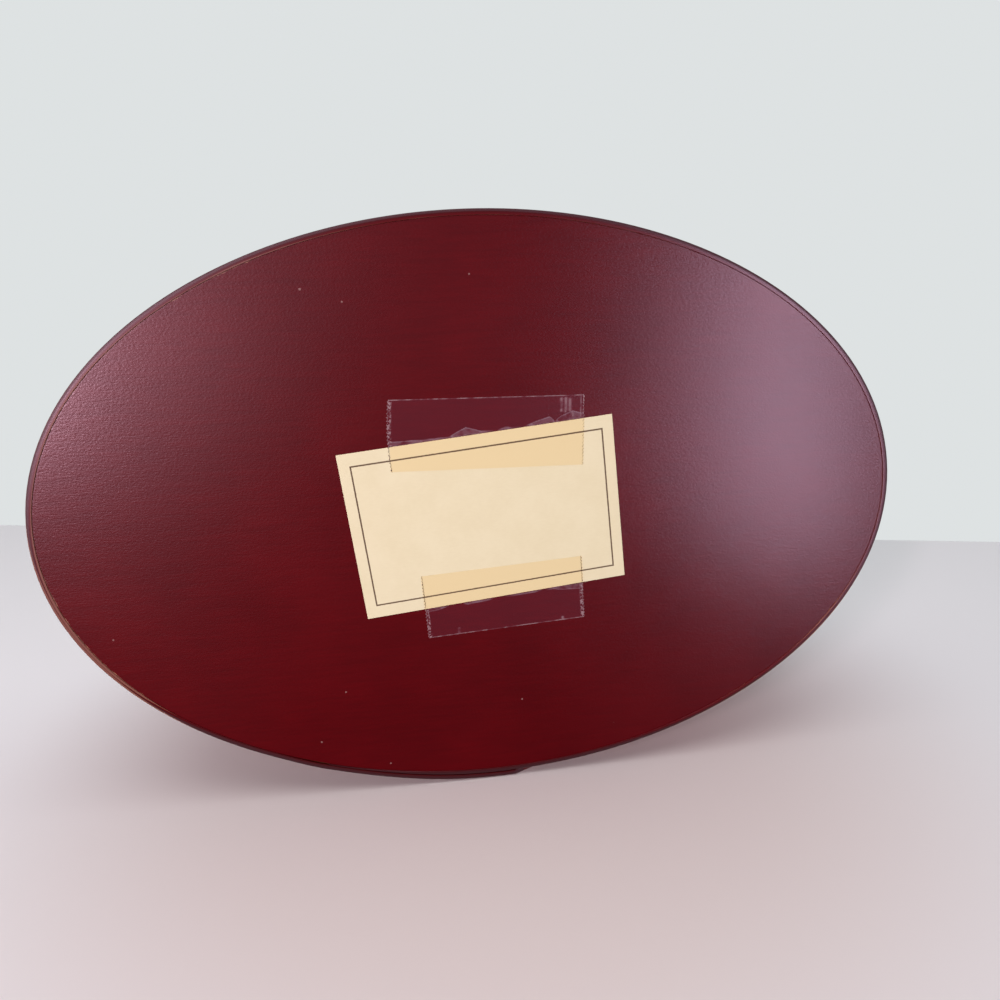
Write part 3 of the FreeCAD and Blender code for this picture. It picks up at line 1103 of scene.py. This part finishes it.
@dataclass(frozen=True)
class PaintedWood:
    """Thin satin red paint over wood, brushed along the grain and rubbed off at the rims, with
    painted contact shade along the lower rim and a painted highlight on the band's inner lip.
    """

    name: str
    grain: Grain
    rim_reach: float
    paint: Colour = (0.101, 0.0005, 0.002, 1)
    dark_paint: Colour = (0.07, 0.0003, 0.0014, 1)
    rubbed: Colour = (0.36, 0.16, 0.085, 1)
    rubbed_dark: Colour = (0.12, 0.03, 0.018, 1)
    bare: Colour = (0.44, 0.235, 0.105, 1)
    bare_dark: Colour = (0.24, 0.10, 0.038, 1)
    speck: Colour = (0.5, 0.33, 0.3, 1)
    # colour of the painted contact shade along the lower rim
    contact_shade_paint: Colour = (0.03, 0.0015, 0.0015, 1)
    roughness: float = 0.289
    roughness_swing: float = 0.012
    bare_roughness: float = 0.55
    gloss_level: float = 0.69
    gloss_tint: Colour = (1.0, 0.74, 0.86, 1)
    streak_depth: float = 0.009 * MM
    pore_depth: float = 0.01 * MM
    peel_depth: float = 0.023 * MM
    speck_show: float = 0.34
    chips: Sequence[tuple[float, float, float]] = ()

    def chip(self, sheet: NodeSheet, spot: tuple[float, float, float]) -> Socket:
        """Mark one small chip in the paint.

        Args:
            sheet: The material's nodes.
            spot: Its place along X and Y, and its radius, in metres.

        Returns:
            The chip's socket, 1 on the chip.
        """
        node = sheet.tree.nodes.new("ShaderNodeVectorMath")
        node.operation = "DISTANCE"
        sheet.join(sheet.flow(self.grain, (1, 1, 0)), node.inputs[0])
        node.inputs[1].default_value = (spot[0], spot[1], 0)
        ragged = sheet.noise(sheet.flow(self.grain, (1, 1, 1)), 2400.0, 2.0)
        gap = sheet.math("MULTIPLY_ADD", ragged, spot[2], node.outputs["Value"])
        return sheet.ramp(gap, spot[2] * 1.7, spot[2] * 1.2)

    def specks(self, sheet: NodeSheet, even: Socket) -> Socket:
        """Scatter pale specks and set the chips in their places.

        Args:
            sheet: The material's nodes.
            even: Coordinates with one scale on every axis.

        Returns:
            The specks' socket, 1 on a speck.
        """
        gap, draw = sheet.cells(even, 300.0)
        near = sheet.ramp(gap, 0.07, 0.03)
        chosen = sheet.math("GREATER_THAN", draw, 0.982)
        specks = sheet.math("MULTIPLY", near, chosen)
        for chip in self.chips:
            specks = sheet.math("MAXIMUM", specks, self.chip(sheet, chip))
        return specks

    def wear(self, sheet: NodeSheet, even: Socket) -> Socket:
        """Rub the paint off along the rims and the band's inner lip, where the lighter wood is also
        a painted highlight on the shaded inner wall.

        Args:
            sheet: The material's nodes.
            even: Coordinates with one scale on every axis.

        Returns:
            The wear's socket, 1 where the wood shows.
        """
        off_rim = sheet.math("SUBTRACT", 1.0, sheet.attribute("rim"))
        rim_gap = sheet.math("MULTIPLY", off_rim, self.rim_reach / MM)
        ragged = sheet.noise(even, 420.0, 4.0, 0.65)
        start = sheet.math("MULTIPLY_ADD", sheet.attribute("handled"), 0.8, -0.78)
        reach = sheet.math("ADD", ragged, start)
        worn = sheet.ramp(sheet.math("SUBTRACT", rim_gap, reach), 0.1, -0.1)
        # the inner lip's lighter wood is wear and also a painted highlight
        lip_wear_and_highlight = sheet.math("SUBTRACT", sheet.attribute("inner_wear_and_highlight"), 1.15)
        lip = sheet.math("MULTIPLY_ADD", ragged, 1.3, lip_wear_and_highlight)
        return sheet.math("MAXIMUM", worn, sheet.ramp(lip, -0.1, 0.1))

    def material(self) -> bpy.types.Material:
        """Make the material."""
        sheet = NodeSheet(self.name)
        streaks = sheet.noise(sheet.flow(self.grain, (90, 950, 950)), 1.0, 3.0, 0.6)
        pores = sheet.noise(sheet.flow(self.grain, (240, 3400, 3400)), 1.0, 2.0, 0.5)
        even = sheet.flow(self.grain, (1, 1, 1))
        patches = sheet.noise(even, 28.0, 3.0, 0.55)
        peel = sheet.noise(sheet.flow(self.grain, (1700, 2500, 2500)), 1.0, 1.0, 0.5)
        tone = sheet.math("MULTIPLY_ADD", streaks, 0.45, sheet.math("MULTIPLY", patches, 0.6))
        tone = sheet.math("MULTIPLY_ADD", peel, 0.15, tone)
        paint = sheet.blend(sheet.ramp(tone, 0.35, 0.9), self.dark_paint, self.paint)
        paint = sheet.blend(sheet.ramp(pores, 0.36, 0.22, 0.0, 0.5), paint, self.dark_paint)
        specks = sheet.math("MULTIPLY", self.specks(sheet, even), self.speck_show)
        paint = sheet.blend(specks, paint, self.speck)
        # painted contact shade along the lower rim, which also dulls the gloss there
        contact_shade = sheet.ramp(sheet.attribute("contact_shade"), 0.1, 0.65, 0.0, 0.95)
        paint = sheet.blend(contact_shade, paint, self.contact_shade_paint)
        # worn holds the rim wear and the inner lip's painted highlight
        worn = self.wear(sheet, even)
        wood = sheet.blend(sheet.ramp(streaks, 0.35, 0.7), self.rubbed_dark, self.rubbed)
        outside = sheet.blend(worn, paint, wood)
        inside = sheet.blend(sheet.ramp(tone, 0.45, 0.85), self.bare_dark, self.bare)
        inner = sheet.attribute("inside")
        sheet.join(sheet.blend(inner, outside, inside), sheet.shader.inputs["Base Color"])
        handling = sheet.noise(even, 16.0, 1.0)
        low, high = self.roughness - self.roughness_swing, self.roughness + self.roughness_swing
        gloss = sheet.ramp(handling, 0.2, 0.8, low, high)
        matte = sheet.math("MAXIMUM", sheet.math("MAXIMUM", worn, inner), contact_shade)
        rough = sheet.math("MAXIMUM", sheet.math("MULTIPLY", matte, self.bare_roughness), gloss)
        sheet.join(rough, sheet.shader.inputs["Roughness"])
        sheet.shader.inputs["Specular IOR Level"].default_value = self.gloss_level
        sheet.shader.inputs["Specular Tint"].default_value = self.gloss_tint
        grain = sheet.relief(streaks, self.streak_depth)
        fine = sheet.relief(pores, self.pore_depth, grain)
        skin = sheet.relief(peel, self.peel_depth, fine)
        sheet.join(skin, sheet.shader.inputs["Normal"])
        return sheet.material


@dataclass(frozen=True)
class Copper:
    """Dulled copper, darker in patches."""

    name: str = "dulled_copper"
    bright: Colour = (0.62, 0.27, 0.15, 1)
    dull: Colour = (0.2, 0.085, 0.05, 1)

    def material(self) -> bpy.types.Material:
        """Make the material."""
        sheet = NodeSheet(self.name)
        even = sheet.flow(Grain.ALONG_BOARD, (1, 1, 1))
        stain = sheet.noise(even, 600.0, 4.0, 0.6)
        colour = sheet.blend(sheet.ramp(stain, 0.35, 0.65), self.dull, self.bright)
        sheet.join(colour, sheet.shader.inputs["Base Color"])
        sheet.join(sheet.ramp(stain, 0.3, 0.7, 0.5, 0.32), sheet.shader.inputs["Roughness"])
        sheet.shader.inputs["Metallic"].default_value = 1.0
        dents = sheet.relief(sheet.noise(even, 1400.0, 2.0), 0.02 * MM)
        sheet.join(dents, sheet.shader.inputs["Normal"])
        return sheet.material


@dataclass(frozen=True)
class CardPaper:
    """Cream card with a thin printed border line, yellowed where tape covers it."""

    card: LabelCard
    tapes: Sequence[TapeStrip]
    name: str = "cream_card"
    cream: Colour = (0.755, 0.69, 0.45, 1)
    cream_dark: Colour = (0.72, 0.65, 0.41, 1)
    yellowed: Colour = (0.735, 0.60, 0.31, 1)
    ink: Colour = (0.085, 0.04, 0.016, 1)
    line_inset: tuple[float, float] = (3.1 * MM, 3.6 * MM)
    line_width: float = 0.46 * MM

    def box_gap(self, sheet: NodeSheet, place: FlatPlace, half: tuple[float, float]) -> Socket:
        """Return the distance in millimetres outside a turned rectangle, negative inside.

        Args:
            sheet: The material's nodes.
            place: The rectangle's place.
            half: Half of its length and of its width, in metres.

        Returns:
            The distance's socket.
        """
        split = sheet.tree.nodes.new("ShaderNodeSeparateXYZ")
        sheet.join(sheet.placed(place), split.inputs["Vector"])
        past = [
            sheet.math("SUBTRACT", sheet.math("ABSOLUTE", split.outputs[axis]), half[axis])
            for axis in (0, 1)
        ]
        return sheet.math("MULTIPLY", sheet.math("MAXIMUM", *past), 1 / MM)

    def material(self) -> bpy.types.Material:
        """Make the material."""
        sheet = NodeSheet(self.name)
        even = sheet.flow(Grain.ALONG_BOARD, (1, 1, 1))
        fibres = sheet.noise(sheet.flow(Grain.ALONG_BOARD, (700, 2200, 2200)), 1.0, 3.0, 0.6)
        blotches = sheet.noise(even, 90.0, 3.0, 0.6)
        tone = sheet.math("MULTIPLY_ADD", fibres, 0.35, sheet.math("MULTIPLY", blotches, 0.65))
        paper = sheet.blend(sheet.ramp(tone, 0.3, 0.7), self.cream_dark, self.cream)
        for tape in self.tapes:
            gap = self.box_gap(sheet, tape.place, (tape.length / 2, tape.width / 2))
            paper = sheet.blend(sheet.ramp(gap, 0.15, -0.15, 0.0, 0.9), paper, self.yellowed)
        half = (
            self.card.length / 2 - self.line_inset[0],
            self.card.width / 2 - self.line_inset[1],
        )
        off_line = sheet.math("ABSOLUTE", self.box_gap(sheet, self.card.place, half))
        ragged = sheet.math("MULTIPLY_ADD", sheet.noise(even, 2500.0, 2.0), 0.1, off_line)
        width = self.line_width / MM / 2
        line = sheet.ramp(ragged, width + 0.08, width - 0.02, 0.0, 0.95)
        sheet.join(sheet.blend(line, paper, self.ink), sheet.shader.inputs["Base Color"])
        sheet.shader.inputs["Roughness"].default_value = 0.75
        sheet.join(sheet.relief(fibres, 0.01 * MM), sheet.shader.inputs["Normal"])
        return sheet.material


@dataclass(frozen=True)
class ClearFilm:
    """Clear tape: a faint haze, pale where air lies under it and along its cut edges, with a
    painted shadow of its saw teeth along the cut ends over the card.
    """

    name: str = "clear_film"
    haze: Colour = (0.42, 0.16, 0.24, 1)
    pale: Colour = (0.82, 0.60, 0.62, 1)
    lilac: Colour = (0.60, 0.42, 0.50, 1)
    # colour of the painted shadow that the saw teeth cast on the card
    cut_shadow: Colour = (0.16, 0.075, 0.05, 1)
    clear_share: float = 0.022
    roughness: float = 0.24

    def material(self) -> bpy.types.Material:
        """Make the material."""
        sheet = NodeSheet(self.name)
        even = sheet.flow(Grain.ALONG_BOARD, (1, 1, 1))
        specks = sheet.ramp(sheet.noise(even, 1700.0, 3.0, 0.7), 0.45, 0.6)
        soft = sheet.noise(even, 420.0, 2.0)
        on_card = sheet.attribute("on_card")
        off_card = sheet.math("SUBTRACT", 1.0, on_card)
        cut = sheet.attribute("cut")
        teeth = sheet.math("MULTIPLY", sheet.ramp(cut, 0.3, 0.55), specks)
        rim = sheet.ramp(cut, 0.84, 0.96, 0.0, 0.16)
        ends = sheet.math("MAXIMUM", sheet.math("MULTIPLY", teeth, 0.2), rim)
        ends = sheet.math("MULTIPLY", ends, off_card)
        side = sheet.ramp(sheet.attribute("side"), 0.6, 0.9, 0.0, 0.17)
        side = sheet.math("MULTIPLY", side, off_card)
        side = sheet.math("MULTIPLY", side, sheet.ramp(soft, 0.32, 0.62, 0.3, 1.0))
        creased = sheet.ramp(soft, 0.3, 0.6, 0.05, 0.15)
        creases = sheet.math("MULTIPLY", sheet.attribute("crease"), creased)
        creases = sheet.math("MULTIPLY", creases, off_card)
        pale = sheet.math("MAXIMUM", sheet.math("MAXIMUM", ends, side), creases)
        air = sheet.attribute("air")
        skirt = sheet.math("SUBTRACT", sheet.ramp(air, 0.05, 0.4), sheet.ramp(air, 0.55, 0.85))
        filled = sheet.ramp(soft, 0.3, 0.6, 0.03, 0.09)
        fill = sheet.math("MULTIPLY", sheet.ramp(air, 0.1, 0.6), filled)
        pocket = sheet.math("MULTIPLY_ADD", skirt, 0.07, fill)
        dots = sheet.ramp(specks, 0.2, 0.7, 0.2, 0.75)
        # painted shadow of the saw teeth, in dots along the cut ends over the card
        cut_shadow_dots = sheet.math("MULTIPLY", sheet.ramp(cut, 0.78, 0.9), dots)
        cut_shadow_dots = sheet.math("MULTIPLY", cut_shadow_dots, on_card)
        colour = sheet.blend(sheet.ramp(pocket, 0.0, 0.15), self.haze, self.lilac)
        colour = sheet.blend(sheet.ramp(pale, 0.02, 0.2), colour, self.pale)
        colour = sheet.blend(on_card, colour, self.cut_shadow)
        milky = sheet.math("MAXIMUM", sheet.math("MAXIMUM", pale, pocket), cut_shadow_dots)
        share = sheet.math("MAXIMUM", milky, sheet.math("MULTIPLY", off_card, self.clear_share))
        sheet.join(colour, sheet.shader.inputs["Base Color"])
        sheet.join(share, sheet.shader.inputs["Alpha"])
        sheet.shader.inputs["Roughness"].default_value = self.roughness
        return sheet.material


# ---------------------------------------------------------------- studio


@dataclass
class SoftLamp:
    """One soft rectangular lamp."""

    name: str
    place: tuple[float, float, float]
    aim: tuple[float, float, float]
    size: tuple[float, float]
    power: float
    colour: tuple[float, float, float] = (1.0, 1.0, 1.0)

    def build(self) -> bpy.types.Object:
        """Hang the lamp and turn it to what it lights."""
        data = bpy.data.lights.new(self.name, "AREA")
        data.shape = "RECTANGLE"
        data.size, data.size_y = self.size
        data.energy = self.power
        data.color = self.colour
        lamp = bpy.data.objects.new(self.name, data)
        bpy.context.scene.collection.objects.link(lamp)
        toward = (Vector(self.aim) - Vector(self.place)).normalized()
        upright = Vector((0, 0, 1)) if abs(toward.y) > 0.9 else Vector((0, 1, 0))
        side = toward.cross(upright).normalized()
        axes = Matrix((side, side.cross(toward), -toward)).transposed().to_4x4()
        lamp.matrix_world = Matrix.Translation(self.place) @ axes
        lamp.visible_camera = False
        return lamp


@dataclass
class Studio:
    """Pale floor and wall, soft lamps and the camera.

    The camera's place and aim are in millimetres. The side floor is the one that the box's side
    rests on in the photograph, and the base floor is the one that the box stands on upright.
    """

    wall: Colour = (0.73, 0.76, 0.765, 1)
    below: Colour = (0.012, 0.012, 0.014, 1)
    base_floor: Colour = (0.66, 0.65, 0.66, 1)
    side_floor: Colour = (0.79, 0.775, 0.795, 1)
    shaded: Colour = (0.72, 0.64, 0.63, 1)
    lens: float = 25.92
    camera_place: tuple[float, float, float] = (20.34, 64.58, -184.87)
    camera_aim: tuple[float, float, float] = (-3.27, 8.09, 0)
    camera_roll: float = 1.4
    side_level: float = -80.2 * MM
    side_tilt: float = -3.6 / 69.5
    side_half: float = 3.0
    side_start: float = -1.5
    side_edge: float = 268 * MM
    side_edge_slope: float = 0.3
    base_level: float = -0.2 * MM
    base_half: float = 6.0
    lamps: Sequence[SoftLamp] = (
        SoftLamp("soft_left", (0.55, 0.2, -0.75), (0, 0, 0), (0.055, 0.57), 7.9, (1.12, 0.93, 1.0)),
        SoftLamp(
            "panel_left", (0.40, 0.15, -0.75), (0, 0, 0), (0.5, 0.75), 0.45, (1.05, 0.97, 1.02)
        ),
        SoftLamp(
            "soft_right", (-0.50, -0.05, -0.75), (0, 0, 0), (0.16, 0.53), 2.3, (0.95, 0.98, 1.14)
        ),
        SoftLamp("over_side", (0.1, 0.95, -0.32), (0, -0.08, 0.0), (0.8, 0.5), 3.3),
        SoftLamp("key_above", (-0.5, -0.6, 0.95), (0, 0, 0.05), (0.5, 0.5), 6.5),
        SoftLamp("fill_above", (0.75, -0.25, 0.5), (0, 0, 0.05), (0.5, 0.5), 2.2),
    )

    def one_sided(self, name: str, colour: Colour, from_below: bool) -> bpy.types.Material:
        """Make a matte floor that shows from its front side only.

        Args:
            name: Name of the material.
            colour: The floor's colour.
            from_below: Show the part above the base only to rays that came from below it.

        Returns:
            The material.
        """
        sheet = NodeSheet(name)
        if from_below:
            near = sheet.tree.nodes.new("ShaderNodeVectorMath")
            near.operation = "LENGTH"
            sheet.join(sheet.flow(Grain.ALONG_BOARD, (6.0, 0, 6.5)), near.inputs[0])
            shade = sheet.ramp(near.outputs["Value"], 1.15, 0.4)
            colour = sheet.blend(shade, colour, self.shaded)
        sheet.feed(sheet.shader.inputs["Base Color"], colour)
        sheet.shader.inputs["Roughness"].default_value = 0.9
        sheet.shader.inputs["Specular IOR Level"].default_value = 0.0
        clear = sheet.tree.nodes.new("ShaderNodeBsdfTransparent")
        mix = sheet.tree.nodes.new("ShaderNodeMixShader")
        geometry = sheet.tree.nodes.new("ShaderNodeNewGeometry")
        hidden = geometry.outputs["Backfacing"]
        if from_below:
            path = sheet.tree.nodes.new("ShaderNodeLightPath")
            split = sheet.tree.nodes.new("ShaderNodeSeparateXYZ")
            sheet.join(geometry.outputs["Position"], split.inputs["Vector"])
            above = sheet.math("GREATER_THAN", split.outputs["Z"], self.base_level)
            direct = sheet.math("LESS_THAN", path.outputs["Transparent Depth"], 0.5)
            hidden = sheet.math("MAXIMUM", hidden, sheet.math("MULTIPLY", above, direct))
        sheet.join(hidden, mix.inputs[0])
        sheet.join(sheet.shader.outputs["BSDF"], mix.inputs[1])
        sheet.join(clear.outputs["BSDF"], mix.inputs[2])
        sheet.join(mix.outputs["Shader"], sheet.output.inputs["Surface"])
        return sheet.material

    def floor(
        self,
        name: str,
        corners: Sequence[tuple[float, float, float]],
        finish: bpy.types.Material,
    ) -> bpy.types.Object:
        """Lay one floor that only the camera sees.

        Args:
            name: Name of the floor.
            corners: Its four corners.
            finish: Its material.

        Returns:
            The floor.
        """
        clear_choice()
        bpy.ops.mesh.primitive_plane_add(size=1)
        floor = take_up(name)
        order = [floor.data.polygons[0].vertices[i] for i in range(4)]
        for index, corner in zip(order, corners):
            floor.data.vertices[index].co = corner
        floor.data.materials.append(finish)
        for kind in ("diffuse", "glossy", "transmission", "shadow", "volume_scatter"):
            setattr(floor, f"visible_{kind}", False)
        return floor

    def world(self) -> None:
        """Light the room evenly from above and beside, and leave it dark below."""
        world = bpy.data.worlds.new("room")
        bpy.context.scene.world = world
        world.use_nodes = True
        tree = world.node_tree
        tree.nodes.clear()
        output = tree.nodes.new("ShaderNodeOutputWorld")
        back = tree.nodes.new("ShaderNodeBackground")
        coords = tree.nodes.new("ShaderNodeTexCoord")
        split = tree.nodes.new("ShaderNodeSeparateXYZ")
        rise = tree.nodes.new("ShaderNodeMapRange")
        rise.interpolation_type = "SMOOTHSTEP"
        rise.inputs["From Min"].default_value = -0.55
        rise.inputs["From Max"].default_value = 0.0
        mix = tree.nodes.new("ShaderNodeMix")
        mix.data_type = "RGBA"
        mix.inputs[6].default_value = self.below
        mix.inputs[7].default_value = self.wall
        tree.links.new(coords.outputs["Generated"], split.inputs["Vector"])
        tree.links.new(split.outputs["Z"], rise.inputs["Value"])
        tree.links.new(rise.outputs["Result"], mix.inputs[0])
        tree.links.new(mix.outputs[2], back.inputs["Color"])
        tree.links.new(back.outputs["Background"], output.inputs["Surface"])

    def camera(self) -> bpy.types.Object:
        """Set the camera at the photograph's place, under the box."""
        data = bpy.data.cameras.new("camera")
        data.sensor_width = 36.0
        data.lens = self.lens
        data.clip_start = 0.01
        data.clip_end = 50.0
        camera = bpy.data.objects.new("camera", data)
        bpy.context.scene.collection.objects.link(camera)
        place = Vector(self.camera_place) * MM
        ahead = (Vector(self.camera_aim) * MM - place).normalized()
        up = (Vector((0, 1, 0)) - ahead * ahead.y).normalized()
        roll = math.radians(self.camera_roll)
        up = up * math.cos(roll) + ahead.cross(up) * math.sin(roll)
        axes = Matrix((ahead.cross(up), up, -ahead)).transposed().to_4x4()
        camera.matrix_world = Matrix.Translation(place) @ axes
        bpy.context.scene.camera = camera
        return camera

    def build(self) -> None:
        """Set up the whole studio."""
        bpy.context.scene.view_settings.view_transform = "Standard"
        self.world()
        self.camera()
        for lamp in self.lamps:
            lamp.build()
        side = self.one_sided("side_floor_matte", self.side_floor, True)
        half = self.side_half

        def on_side(x: float, z: float) -> tuple[float, float, float]:
            """Return a place on the floor that the box's side lies on."""
            return (x, self.side_level + self.side_tilt * z, z)

        corners = [on_side(half, self.side_start), on_side(-half, self.side_start)]
        corners += [on_side(x, self.side_edge + x * self.side_edge_slope) for x in (-half, half)]
        self.floor("side_floor", corners, side)
        flat = self.one_sided("base_floor_matte", self.base_floor, False)
        half, level = self.base_half, self.base_level
        corners = [(x * half, y * half, level) for x, y in ((-1, -1), (1, -1), (1, 1), (-1, 1))]
        self.floor("base_floor", corners, flat)


# ---------------------------------------------------------------- the whole box


@dataclass
class OvalBox:
    """The box and its lid.

    Chips, tapes and creases are in millimetres and seen in plan. The rubbed tables give the
    wear in mm by degrees round the oval, 0 at +X: the side band's outer arris, its inner lip,
    where the wear is also a painted highlight on the shaded inner wall, and the joint with the
    bottom board.
    """

    oval: OvalShape
    bottom_build: float = 0.27 * MM
    peg_nodes: Sequence[str] = ("bottom_pegs", "lid_pegs")
    chips: Sequence[tuple[float, float, float]] = (
        (44, 64, 0.3), (34.3, 60.8, 0.22), (3, 66.6, 0.25), (101.4, -24.3, 0.25),
        (50.5, -61.9, 0.3), (42.3, -46.3, 0.25), (31.3, -71.5, 0.25), (-8.5, -54.0, 0.28),
    )
    rubbed: Sequence[tuple[float, float]] = (
        (-180, 0.5), (-150, 0.8), (-125, 0.7), (-105, 0.4), (-95, 0.2), (-75, 0.05), (-60, 0.2),
        (-45, 0.5), (-26, 1.3), (-8, 1.25), (5, 0.6), (30, 0.6), (60, 0.6), (90, 0.3),
        (120, 0.3), (150, 0.4), (180, 0.5),
    )
    # wear along the inner lip, also a painted highlight on its shaded wall
    rubbed_lip_and_highlight: Sequence[tuple[float, float]] = (
        (-180, 0.0), (-150, 0.02), (-125, 0.0), (-105, -0.5), (-50, -0.5), (-35, 0.1), (-26, 0.5),
        (-8, 0.45), (5, 0.2), (30, 0.3), (60, 0.3), (90, 0.05), (120, 0.0), (150, -0.05),
        (180, 0.0),
    )
    rubbed_joint: Sequence[tuple[float, float]] = (
        (-180, 0.1), (-150, 0.42), (-125, 0.3), (-105, -0.5), (-50, -0.5), (-28, 0.45), (-8, 0.45),
        (5, 0.1), (30, 0.42), (60, 0.42), (80, -0.2), (110, -0.5), (180, 0.1),
    )

    upper_air: Sequence[tuple[float, float]] = (
        (-36, 1.8), (-28.5, 1.6), (-26.2, 2.6), (-23, 1.6), (-21.2, 0.5), (-19.9, 1.9), (-16, 1.1),
        (-13.1, 0.5), (-9.5, 0.6), (-8, 0.9), (-5.5, 0.5), (-2.5, 0.7), (-1, 0.9), (2.5, 2.4),
        (7, 0.6), (14, 0.8), (23, 1.4), (36, 1.5),
    )
    lower_air: Sequence[tuple[float, float]] = (
        (-36, 1.9), (-23, 1.9), (-19, 1.4), (-16, 0.8), (-13, 0.5), (-10, 0.8), (-4, 0.7),
        (0.5, 0.4), (3, 0.8), (9, 0.9), (10.5, 0.4), (14, 0.5), (17, 1.0), (36, 1.3),
    )
    upper_creases: Sequence[tuple[float, float, float]] = (
        (-19.5, 4.8, 9.2), (-20.7, 4.6, 9.3), (-21.8, 4.8, 9.2), (-22.6, 3.4, 5.2),
    )
    lower_creases: Sequence[tuple[float, float, float]] = (
        (-16.2, -10.2, -8.0), (-15.4, -9.8, -8.9), (13.8, -9.9, -7.2),
    )

    def build(self) -> None:
        """Build every piece in order and report each."""
        oval = self.oval
        bottom_paint = PaintedWood(
            "painted_bottom", Grain.ALONG_BOARD, OvalBoard.rim_reach, chips=in_metres(self.chips)
        ).material()
        top_paint = PaintedWood("painted_top", Grain.ALONG_BOARD, OvalBoard.rim_reach).material()
        band_paint = PaintedWood("painted_band", Grain.ALONG_STRIP, BandStrip.rim_reach).material()
        peg_paint = PaintedWood("painted_pegs", Grain.ALONG_BOARD, BandStrip.rim_reach).material()
        copper = Copper().material()
        side = BandStrip(
            "side_band_strip", "side_band", Body.BOX, oval, oval.side_base, 4,
            self.rubbed, self.rubbed_lip_and_highlight,
        )
        lid = BandStrip("lid_band_strip", "lid_band", Body.LID, oval, oval.lid_base, 1)
        boards = (
            OvalBoard(
                "bottom_board_oval", "bottom_board", Body.BOX, oval, oval.side_base, True,
                self.bottom_build, self.rubbed_joint,
            ),
            OvalBoard("lid_board_oval", "lid_board", Body.LID, oval, oval.lid_base, False),
        )
        for board, paint in zip(boards, (bottom_paint, top_paint)):
            self.report(board.build(paint))
        for strip in (side, lid):
            self.report(strip.build(band_paint))
        self.report(TackRow("side_tack_row", "side_tacks", Body.BOX, side).build(copper))
        self.report(TackRow("lid_tack_row", "lid_tacks", Body.LID, lid).build(copper))
        for node in self.peg_nodes:
            pegs = frame["nodes"][node]
            pegs.data.materials.clear()
            pegs.data.materials.append(peg_paint)
            log.info("%s: kept from the frame", node)
        self.label()

    def place(self, x: float, y: float, degrees: float) -> FlatPlace:
        """Return a place from millimetres off the oval's middle, and its turn in degrees."""
        return FlatPlace(x * MM, y * MM + self.oval.centre_y, math.radians(degrees))

    def label(self) -> None:
        """Lay the card and its two tapes under the bottom board."""
        low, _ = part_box("bottom_board")
        card = LabelCard(self.place(0.2, 1.4, -5.8), low.z - self.bottom_build)
        tapes = (
            TapeStrip(
                "label_tape_upper_film", "label_tape_upper", self.place(-0.6, 24.9, 0.9), card,
                length=51.6 * MM,
                air=in_metres(self.upper_air),
                creases=in_metres(self.upper_creases),
                fold_line=1.05 * MM,
                end_bows=(0.0, 0.65 * MM),
            ),
            TapeStrip(
                "label_tape_lower_film", "label_tape_lower", self.place(-4.0, -22.3, -3.4), card,
                length=45.4 * MM,
                air=in_metres(self.lower_air),
                creases=in_metres(self.lower_creases),
            ),
        )
        self.report(card.build(CardPaper(card, tapes).material()))
        film = ClearFilm().material()
        for tape in tapes:
            self.report(tape.build(film))

    def report(self, piece: bpy.types.Object) -> None:
        """Log a piece's size in triangles."""
        triangles = sum(len(face.vertices) - 2 for face in piece.data.polygons)
        log.info("%s: %d triangles", piece.name, triangles)


def main() -> None:
    """Build the box, then the studio around it."""
    logging.basicConfig(level=logging.INFO, format="%(message)s")
    OvalBox(OvalShape.from_frame()).build()
    Studio().build()


if __name__ == "__main__":
    main()
